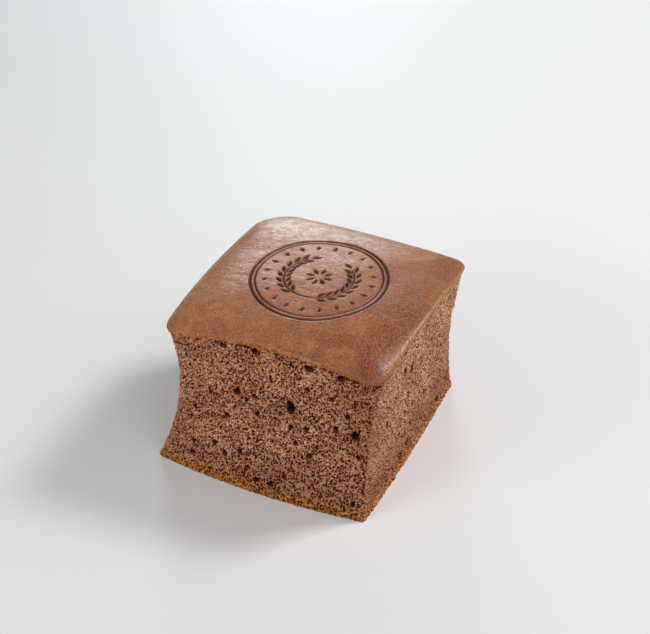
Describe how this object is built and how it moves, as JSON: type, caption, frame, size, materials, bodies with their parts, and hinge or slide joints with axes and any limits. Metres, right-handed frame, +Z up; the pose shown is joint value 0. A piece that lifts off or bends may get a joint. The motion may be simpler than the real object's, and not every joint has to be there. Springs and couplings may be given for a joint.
{
  "type": "castella sponge cake",
  "caption": "Square block of airy brown sponge cake with a smooth domed skin, open crumb on its torn sides, a thin crust underneath and a burned-in stamp of wheat ears on top.",
  "frame": {"origin": "under the middle of the block, on its flat underside", "axes": "+X along the front side to the right, +Y from the front side to the back, +Z up"},
  "size_m": [0.1518, 0.1539, 0.1063],
  "materials": {
    "crumb": "matte, open sponge crumb",
    "skin": "satin baked skin",
    "crust": "matte, dry golden crust"
  },
  "bodies": {
    "root": {"sponge_cake": "crumb"}
  },
  "joints": []
}
